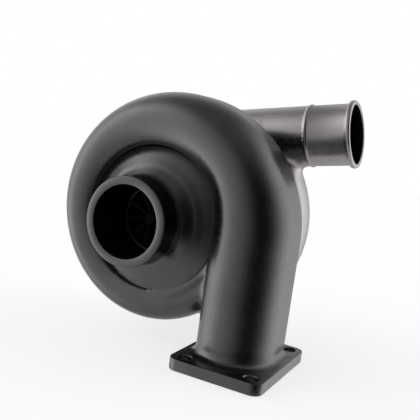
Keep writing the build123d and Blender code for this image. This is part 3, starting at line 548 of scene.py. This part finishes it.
def machined_snout():
    """Turned inlet end with its hose bead."""
    y = COMP_BACK_Y
    profile = [(20, SNOUT_SEAM_Y - 5), (37.0, SNOUT_SEAM_Y - 5), (37.6, SNOUT_SEAM_Y - 0.4),
               (INLET_R, SNOUT_SEAM_Y), (INLET_R, y - 7.9)]
    profile += [(INLET_R + 1.4 * sin(pi * i / 8), y - 7.6 + 4.4 * i / 8) for i in range(9)]
    profile += [(INLET_R, y - 0.9), (INLET_R - 0.3, y - 0.25), (INLET_R - 0.9, y), (20, y)]
    return axis_lathe("snout", profile)


def machined_collar():
    """Turned rim that the clamp plates hold."""
    return axis_lathe("collar", [(60, COLLAR_Y), (COLLAR_R - 0.7, COLLAR_Y), (COLLAR_R, COLLAR_Y + 0.7),
                                 (COLLAR_R, COLLAR_Y + 5.4), (COLLAR_R - 0.6, COLLAR_Y + 6.0),
                                 (60, COLLAR_Y + 6.0)])


def tube_lathe(name, profile):
    """A mesh turned about the outlet tube's axis, from (radius, distance along it) points."""
    return lathe_mesh(name, profile, TUBE_START, TUBE_DIR, 144)


def tube_end():
    """Turned hose end of the outlet tube, with its bead and rounded lip."""
    profile = [(15, TUBE_SEAM - 6), (TUBE_R - 0.8, TUBE_SEAM - 6), (TUBE_R - 0.3, TUBE_SEAM - 2.6),
               (TUBE_R, TUBE_SEAM - 2.3)]
    profile += [(TUBE_R + BEAD_H * sin(pi * i / 10) ** 1.2, TUBE_SEAM - 1.9 + 3.8 * i / 10)
                for i in range(1, 10)]
    profile += [(TUBE_R, TUBE_SEAM + 2.3), (TUBE_R, TUBE_LENGTH - LIP_W - 1.0),
                (TUBE_R + 0.2, TUBE_LENGTH - LIP_W - 0.2)]
    mid, half, high = TUBE_LENGTH - LIP_W / 2, LIP_W / 2, LIP_R - TUBE_R
    profile += [(TUBE_R + high * sin(pi * (0.06 + 0.88 * i / 14)) ** 0.62, mid - half * cos(pi * i / 14))
                for i in range(15)]
    profile += [(15, TUBE_LENGTH)]
    return tube_lathe("tube_end", profile)


def tube_bore():
    """Cutter for the tube's bore: machined near the lip, cast further in."""
    end = TUBE_LENGTH
    profile = [(0, -0.5), (TUBE_CAST_BORE_R, -0.5), (TUBE_CAST_BORE_R, end - 60.6), (TUBE_BORE_R, end - 60),
               (TUBE_BORE_R, end - 1.4), (TUBE_BORE_R + 0.25, end - 0.6), (TUBE_BORE_R + 0.8, end - 0.15),
               (TUBE_BORE_R + 1.1, end + 2), (0, end + 2)]
    return tube_lathe("tube_bore", profile)


def bolt_hole_tools(circle_r, hole_r, y0, y1):
    """Cutters for the six clamp bolt holes of a casting."""
    profile = [(0, 0), (hole_r, 0), (hole_r, y1 - y0), (0, y1 - y0)]
    tools = []
    for middle in (30, 150, 270):
        for side in (-22, 22):
            a = radians(middle + side)
            at = (AXIS_X + circle_r * cos(a), y0, AXIS_Z + circle_r * sin(a))
            tools.append(lathe_mesh("hole", profile, at, (0, 1, 0), 24))
    return tools


def compressor_casting():
    """Volute, outlet tube and inlet snout in one piece."""
    outside = cast_mesh("compressor_casting", compressor_outside, COMP_LO, COMP_HI, CAST_STEP)
    passage = cast_mesh("passage", compressor_passage, COMP_LO, COMP_HI, PASSAGE_STEP)
    piece = make_object("compressor_casting", outside)
    combine(piece, "UNION", [machined_snout(), machined_collar(), tube_end()])
    combine(piece, "DIFFERENCE", [passage, compressor_bore(), tube_bore()]
            + bolt_hole_tools(C_BOLT_CIRCLE_R, C_BOLT_R, COLLAR_Y - 1, COLLAR_Y + 6.5))
    shade(piece)
    return piece


# ---- materials ----------------------------------------------------------------------------------
class Nodes:
    """A short way to write a procedural material."""

    def __init__(self, name, metallic, roughness, colour):
        self.material = bpy.data.materials.new(name)
        self.material.use_nodes = True
        self.tree = self.material.node_tree
        self.shader = self.tree.nodes["Principled BSDF"]
        self.shader.inputs["Metallic"].default_value = metallic
        self.shader.inputs["Roughness"].default_value = roughness
        self.shader.inputs["Base Color"].default_value = (*colour, 1)
        self.places = self.tree.nodes.new("ShaderNodeTexCoord").outputs["Object"]

    def node(self, kind, values=(), **settings):
        made = self.tree.nodes.new("ShaderNode" + kind)
        for key, value in settings.items():
            setattr(made, key, value)
        for key, value in dict(values).items():
            self.put(made.inputs[key], value)
        return made

    def put(self, socket, value):
        if isinstance(value, bpy.types.NodeSocket):
            self.tree.links.new(value, socket)
        else:
            socket.default_value = value

    def noise(self, scale, detail=4.0, rough=0.55, places=None):
        return self.node("TexNoise", {"Vector": places or self.places, "Scale": scale, "Detail": detail,
                                      "Roughness": rough}).outputs["Fac"]

    def spread(self, value, low, high, to_low, to_high):
        """A value moved from one range to another and held inside it."""
        return self.node("MapRange", {"Value": value, "From Min": low, "From Max": high,
                                      "To Min": to_low, "To Max": to_high}).outputs["Result"]

    def maths(self, operation, a, b):
        made = self.node("Math", operation=operation)
        self.put(made.inputs[0], a)
        self.put(made.inputs[1], b)
        return made.outputs[0]

    def tint(self, factor, a, b):
        made = self.node("Mix", data_type="RGBA")
        self.put(made.inputs["Factor"], factor)
        self.put(made.inputs[6], (*a, 1) if isinstance(a, tuple) else a)
        self.put(made.inputs[7], (*b, 1) if isinstance(b, tuple) else b)
        return made.outputs[2]

    def bump(self, height, distance, strength=1.0, under=None):
        values = {"Height": height, "Distance": distance, "Strength": strength}
        if under is not None:
            values["Normal"] = under
        return self.node("Bump", values).outputs["Normal"]

    def worn(self, low=0.52, high=0.62):
        """1 on outside edges, 0 elsewhere."""
        point = self.node("NewGeometry").outputs["Pointiness"]
        return self.spread(point, low, high, 0.0, 1.0)

    def inside_bore(self, point, axis, radius):
        """1 nearer than radius to an axis and ahead of a point on it, 0 elsewhere (millimetres); this masks
        the painted shade inside a bore.
        """
        rel = self.node("VectorMath", operation="SUBTRACT")
        self.put(rel.inputs[0], self.places)
        rel.inputs[1].default_value = tuple(point * MM)
        across = self.node("VectorMath", operation="CROSS_PRODUCT")
        self.put(across.inputs[0], rel.outputs[0])
        across.inputs[1].default_value = tuple(axis)
        away = self.node("VectorMath", {0: across.outputs[0]}, operation="LENGTH").outputs["Value"]
        ahead = self.node("VectorMath", {0: rel.outputs[0], 1: tuple(axis)}, operation="DOT_PRODUCT")
        along = ahead.outputs["Value"]
        near = self.spread(away, (radius - 0.3) * MM, radius * MM, 1.0, 0.0)
        return self.maths("MULTIPLY", near, self.spread(along, 0.0, 1.0 * MM, 0.0, 1.0))

    def finish(self, **sockets):
        for key, value in sockets.items():
            self.put(self.shader.inputs[key.replace("_", " ")], value)
        return self.material


def cast_metal(name, dark, light, rough, grain_mm=0.9, relief=0.05, edge=None, metallic=1.0, painted_bore_shade=()):
    """Sand-cast metal: fine grain, soft unevenness, clouded tone, rubbed edges and painted shade inside
    bores.
    """
    n = Nodes(name, metallic, rough, dark)
    clouds = n.noise(22.0, 5.0, 0.6)
    grain = n.noise(1000 / grain_mm, 3.0, 0.6)
    pits = n.noise(420.0, 2.0, 0.5)
    speckle = n.spread(grain, 0.3, 0.7, 0.0, 1.0)
    tone = n.maths("ADD", n.spread(clouds, 0.32, 0.68, 0.0, 0.8), n.maths("MULTIPLY", speckle, 0.2))
    colour = n.tint(tone, dark, light)
    if edge:
        colour = n.tint(n.maths("MULTIPLY", n.worn(), 0.55), colour, edge)
    # painted shade: each listed bore is tinted near black inside, standing in for the shade deep in it
    for point, axis, radius in painted_bore_shade:
        colour = n.tint(n.inside_bore(point, axis, radius), colour, (0.006, 0.006, 0.006))
    wide = n.bump(n.noise(55.0, 2.0, 0.5), 0.1 * MM, 0.4)
    dents = n.bump(n.spread(pits, 0.36, 0.46, 0.0, 1.0), relief * MM, 0.5, wide)
    fine = n.bump(grain, relief * MM, 0.6, dents)
    uneven = n.maths("ADD", n.spread(clouds, 0.3, 0.7, rough - 0.05, rough + 0.05),
                     n.maths("MULTIPLY", n.spread(pits, 0.35, 0.65, -1.0, 1.0), 0.03))
    return n.finish(Base_Color=colour, Roughness=uneven, Normal=fine)


def turned_metal(name, colour, rough, pitch_mm=0.5, relief=0.012, stain=None, metallic=1.0, centre=True):
    """Machined metal: fine rings about the rotor axis, with a few deeper ones and faint stains."""
    n = Nodes(name, metallic, rough, colour)
    rel = n.node("VectorMath", operation="SUBTRACT")
    n.put(rel.inputs[0], n.places)
    rel.inputs[1].default_value = (AXIS_X * MM, 0, AXIS_Z * MM) if centre else (0, 0, 0)
    parts = n.node("SeparateXYZ", {"Vector": rel.outputs[0]}).outputs
    radius = n.maths("SQRT", n.maths("ADD", n.maths("MULTIPLY", parts["X"], parts["X"]),
                                     n.maths("MULTIPLY", parts["Z"], parts["Z"])), 0.0)
    rings = n.node("CombineXYZ", {"X": radius, "Y": parts["Y"], "Z": 0.0}).outputs[0]
    lines = n.noise(1000 / pitch_mm, 2.0, 0.5, rings)
    broad = n.noise(180.0, 2.0, 0.5, rings)
    patches = n.noise(45.0, 4.0, 0.6)
    dark = tuple(0.72 * c for c in colour)
    tone = n.tint(n.spread(lines, 0.3, 0.7, 0.0, 0.5), colour, dark)
    if stain:
        tone = n.tint(n.spread(patches, 0.5, 0.72, 0.0, 0.6), tone, stain)
    normal = n.bump(broad, 2 * relief * MM, 0.5, n.bump(lines, relief * MM, 0.8))
    uneven = n.maths("ADD", n.spread(patches, 0.3, 0.7, rough - 0.06, rough + 0.08),
                     n.maths("MULTIPLY", n.spread(lines, 0.3, 0.7, -1.0, 1.0), 0.04))
    return n.finish(Base_Color=tone, Roughness=uneven, Normal=normal)


def heat_tinted(name, rough):
    """Nickel alloy or steel that has run hot: straw, brown and blue by turns, with dull soot."""
    n = Nodes(name, 1.0, rough, (0.2, 0.18, 0.17))
    clouds = n.noise(60.0, 5.0, 0.6)
    grain = n.noise(1600.0, 2.0, 0.5)
    straw = n.tint(n.spread(clouds, 0.3, 0.5, 0.0, 1.0), (0.055, 0.05, 0.052), (0.10, 0.08, 0.065))
    blue = n.tint(n.spread(clouds, 0.5, 0.68, 0.0, 1.0), straw, (0.05, 0.055, 0.075))
    soot = n.spread(n.noise(25.0, 4.0, 0.6), 0.35, 0.6, 0.5, 0.95)
    colour = n.tint(soot, blue, (0.018, 0.017, 0.017))
    return n.finish(Base_Color=colour, Roughness=n.spread(soot, 0.5, 0.95, rough + 0.1, rough + 0.35),
                    Normal=n.bump(grain, 0.02 * MM, 0.6))


def zinc_steel(name, colour, rough):
    """Plated or oiled steel for screws, bolts and plates."""
    n = Nodes(name, 1.0, rough, colour)
    clouds = n.noise(160.0, 4.0, 0.6)
    scratches = n.node("Mapping", {"Vector": n.places, "Scale": (2500.0, 260.0, 1400.0)}).outputs[0]
    lines = n.noise(1.0, 2.0, 0.5, scratches)
    dark = tuple(0.6 * c for c in colour)
    tone = n.tint(n.spread(clouds, 0.35, 0.7, 0.0, 0.7), colour, dark)
    light = tuple(min(1.0, 1.5 * c) for c in colour)
    tone = n.tint(n.maths("MULTIPLY", n.worn(0.55, 0.7), 0.6), tone, light)
    uneven = n.maths("ADD", n.spread(clouds, 0.3, 0.7, rough - 0.05, rough + 0.1),
                     n.maths("MULTIPLY", n.spread(lines, 0.3, 0.7, -1.0, 1.0), 0.05))
    return n.finish(Base_Color=tone, Roughness=uneven, Normal=n.bump(lines, 0.008 * MM, 0.7))


def rubber(name):
    """Black moulded rubber with a dusty bloom."""
    n = Nodes(name, 0.0, 0.6, (0.012, 0.012, 0.013))
    bloom = n.noise(130.0, 4.0, 0.6)
    colour = n.tint(n.spread(bloom, 0.4, 0.75, 0.0, 0.6), (0.010, 0.010, 0.011), (0.035, 0.034, 0.033))
    return n.finish(Base_Color=colour, Roughness=n.spread(bloom, 0.3, 0.7, 0.5, 0.72),
                    Normal=n.bump(n.noise(900.0, 2.0, 0.5), 0.02 * MM, 0.5))


TURBINE_IRON = cast_metal("cast_iron_dark", (0.105, 0.105, 0.107), (0.14, 0.14, 0.142), 0.27,
                          grain_mm=0.8, relief=0.003)
# painted shade: the outlet tube's bore is tinted near black inside
COMPRESSOR_ALLOY = cast_metal("cast_aluminium_satin", (0.37, 0.35, 0.347), (0.45, 0.43, 0.427), 0.27,
                              grain_mm=0.7, relief=0.004, painted_bore_shade=[(TUBE_START, TUBE_DIR, TUBE_BORE_R + 0.4)])
FINISHES = {
    "turbine_casting": TURBINE_IRON,
    "compressor_casting": COMPRESSOR_ALLOY,
    "bearing_casting": cast_metal("cast_iron_grey", (0.13, 0.125, 0.12), (0.20, 0.19, 0.185), 0.42,
                                  grain_mm=1.0, relief=0.06, edge=(0.36, 0.35, 0.34)),
    "turbine_alloy": heat_tinted("nickel_alloy_hot", 0.38),
    "compressor_wheel_alloy": turned_metal("milled_aluminium", (0.62, 0.62, 0.63), 0.24, 0.35),
    "machined_aluminium": turned_metal("turned_aluminium", (0.52, 0.52, 0.53), 0.28, 0.5,
                                       stain=(0.34, 0.33, 0.32)),
    "ground_steel": turned_metal("ground_steel", (0.44, 0.43, 0.42), 0.2, 0.2, relief=0.006),
    "shield_steel": heat_tinted("pressed_steel_hot", 0.3),
    "bearing_bronze": turned_metal("turned_bronze", (0.50, 0.30, 0.13), 0.28, 0.3, stain=(0.30, 0.17, 0.08)),
    "fastener_steel": zinc_steel("plated_fasteners", (0.36, 0.35, 0.33), 0.3),
    "plate_steel": zinc_steel("pressed_plate", (0.27, 0.265, 0.26), 0.36),
    "seal_rubber": rubber("seal_rubber"),
}


# ---- pieces ---------------------------------------------------------------------------------------
def dress_frame():
    """Gives every CAD node the finish that its slot calls for."""
    for row in frame["record"]["subparts"]:
        node = frame["nodes"][row["node"]]
        for place in node.material_slots:
            place.link = "OBJECT"
            place.material = FINISHES[row["material_slot"]]


def place(piece, node, slot):
    """A casting takes the place of its CAD node on the housing."""
    piece.data.materials.append(FINISHES[slot])
    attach(piece, "housing")
    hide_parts(node)


# ---- camera, lights and floor ---------------------------------------------------------------------
CAMERA_AT = Vector((0.1712, -0.4499, 0.1786))
CAMERA_RIGHT = Vector((0.887, 0.441, 0.136))
CAMERA_UP = Vector((-0.176, 0.051, 0.983))
CAMERA_LENS = 53.6


def add_camera():
    data = bpy.data.cameras.new("camera")
    data.lens = CAMERA_LENS
    data.sensor_width = 36.0
    data.clip_start = 0.01
    data.clip_end = 50.0
    camera = bpy.data.objects.new("camera", data)
    right = CAMERA_RIGHT.normalized()
    up = (CAMERA_UP - CAMERA_UP.dot(right) * right).normalized()
    turn = Matrix((right, up, right.cross(up))).transposed()
    camera.matrix_world = Matrix.Translation(CAMERA_AT) @ turn.to_4x4()
    bpy.context.scene.collection.objects.link(camera)
    bpy.context.scene.camera = camera


# Broad studio lights round the object: compass direction in degrees, half width in degrees, brightness.
LEFT_BOX = (-155, 30, 1.9)
RIGHT_BOX = (48, 33, 1.5)
BACK_WALL = (140, 40, 0.9)
FRONT_FILL = (-100, 30, 0.4)
STUDIO_LIGHTS = [LEFT_BOX, RIGHT_BOX, BACK_WALL, FRONT_FILL]
LIGHT_DIM = 0.02
RAMP_STOPS = 31
# Light at other heights: where it starts and is full (height of a direction of length 1), and how bright.
LIGHT_HIGH_LOW = [(0.5, 0.97, 0.25), (-0.35, -0.85, 0.6)]
LIGHT_MOST = 2.0


def light_round(deg):
    """Brightness in one compass direction: each light fades smoothly away from its middle."""
    total = LIGHT_DIM
    for middle, width, level in STUDIO_LIGHTS:
        off = (deg - middle + 180) % 360 - 180
        total += level * exp(-(off / width) ** 2)
    return total


def add_world():
    """A soft studio round the object, plain white where the camera sees past it."""
    world = bpy.data.worlds.new("studio")
    world.use_nodes = True
    tree = world.node_tree
    new, link = tree.nodes.new, tree.links.new
    parts = new("ShaderNodeSeparateXYZ")
    link(new("ShaderNodeTexCoord").outputs["Generated"], parts.inputs[0])
    turn = new("ShaderNodeMath")
    turn.operation = "ARCTAN2"
    link(parts.outputs["Y"], turn.inputs[0])
    link(parts.outputs["X"], turn.inputs[1])
    place = new("ShaderNodeMapRange")
    link(turn.outputs[0], place.inputs["Value"])
    place.inputs["From Min"].default_value = -pi
    place.inputs["From Max"].default_value = pi
    ramp = new("ShaderNodeValToRGB")
    ramp.color_ramp.interpolation = "EASE"
    link(place.outputs[0], ramp.inputs[0])
    stops = ramp.color_ramp.elements
    for i in range(1, RAMP_STOPS - 1):
        stops.new(i / (RAMP_STOPS - 1))
    for i, stop in enumerate(stops):
        level = light_round(360 * i / (RAMP_STOPS - 1) - 180)
        stop.color = (*[level / LIGHT_MOST] * 3, 1)
    light = ramp.outputs["Color"]
    for low, high, level in LIGHT_HIGH_LOW:
        height = new("ShaderNodeMapRange")
        height.interpolation_type = "SMOOTHSTEP"
        link(parts.outputs["Z"], height.inputs["Value"])
        height.inputs["From Min"].default_value = low
        height.inputs["From Max"].default_value = high
        blend = new("ShaderNodeMix")
        blend.data_type = "RGBA"
        link(height.outputs[0], blend.inputs["Factor"])
        link(light, blend.inputs[6])
        blend.inputs[7].default_value = (*[level / LIGHT_MOST] * 3, 1)
        light = blend.outputs[2]
    around = tree.nodes["Background"]
    link(light, around.inputs["Color"])
    around.inputs["Strength"].default_value = LIGHT_MOST
    seen = new("ShaderNodeBackground")
    seen.inputs["Color"].default_value = (1, 1, 1, 1)
    choose = new("ShaderNodeMixShader")
    link(new("ShaderNodeLightPath").outputs["Is Camera Ray"], choose.inputs[0])
    link(around.outputs[0], choose.inputs[1])
    link(seen.outputs[0], choose.inputs[2])
    link(choose.outputs[0], tree.nodes["World Output"].inputs["Surface"])
    bpy.context.scene.world = world
    bpy.context.scene.view_settings.view_transform = "Standard"


FLOOR_LIFT = 0.72
FLOOR_RADIUS = 3.0
FLOOR_Z = -0.0005


def add_floor():
    """Pale matt floor, lit to white for the camera and left out of reflections."""
    bpy.ops.mesh.primitive_circle_add(vertices=96, radius=FLOOR_RADIUS, fill_type="NGON",
                                      location=(0, 0, FLOOR_Z))
    floor = bpy.context.object
    floor.name = "floor"
    n = Nodes("pale_floor", 0.0, 0.9, (0.5, 0.5, 0.5))
    n.shader.inputs["Emission Color"].default_value = (1, 1, 1, 1)
    seen = n.node("LightPath").outputs["Is Camera Ray"]
    n.put(n.shader.inputs["Emission Strength"], n.maths("MULTIPLY", seen, FLOOR_LIFT))
    n.shader.inputs["Specular IOR Level"].default_value = 0.0
    floor.data.materials.append(n.material)
    floor.visible_glossy = False


add_camera()
add_world()
add_floor()
dress_frame()
place(turbine_casting(), "turbine_housing", "turbine_casting")
place(compressor_casting(), "compressor_housing", "compressor_casting")
